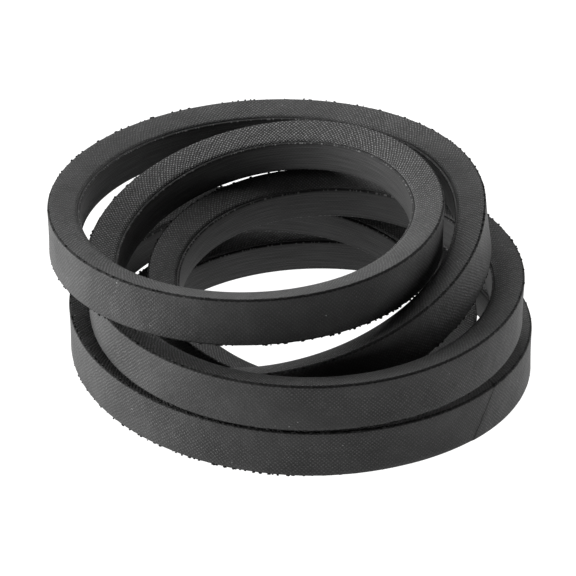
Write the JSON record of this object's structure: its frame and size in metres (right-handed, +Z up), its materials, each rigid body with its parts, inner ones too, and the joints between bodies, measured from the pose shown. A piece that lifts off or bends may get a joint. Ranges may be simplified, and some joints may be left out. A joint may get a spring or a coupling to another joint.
{
  "type": "wrapped V-belt",
  "caption": "Endless fabric-wrapped rubber V-belt, coiled in several loose turns and standing on its side.",
  "frame": {"origin": "on the floor, under the middle of the coil's footprint", "axes": "+Z up, through the eye of the coil; +X to the right and +Y to the back of the coil as it stands"},
  "size_m": [0.1556, 0.152, 0.0641],
  "materials": {
    "cover_canvas": "matte",
    "inner_canvas": "matte",
    "tension_rubber": "matte",
    "adhesion_gum": "satin",
    "cord_yarn": "satin",
    "core_rubber": "matte"
  },
  "bodies": {
    "root": {"outer_cover_ply": "cover_canvas", "inner_cover_ply": "inner_canvas", "tension_rubber": "tension_rubber", "upper_adhesion_gum": "adhesion_gum", "tensile_cord": "cord_yarn", "lower_adhesion_gum": "adhesion_gum", "compression_rubber": "core_rubber"}
  },
  "joints": []
}
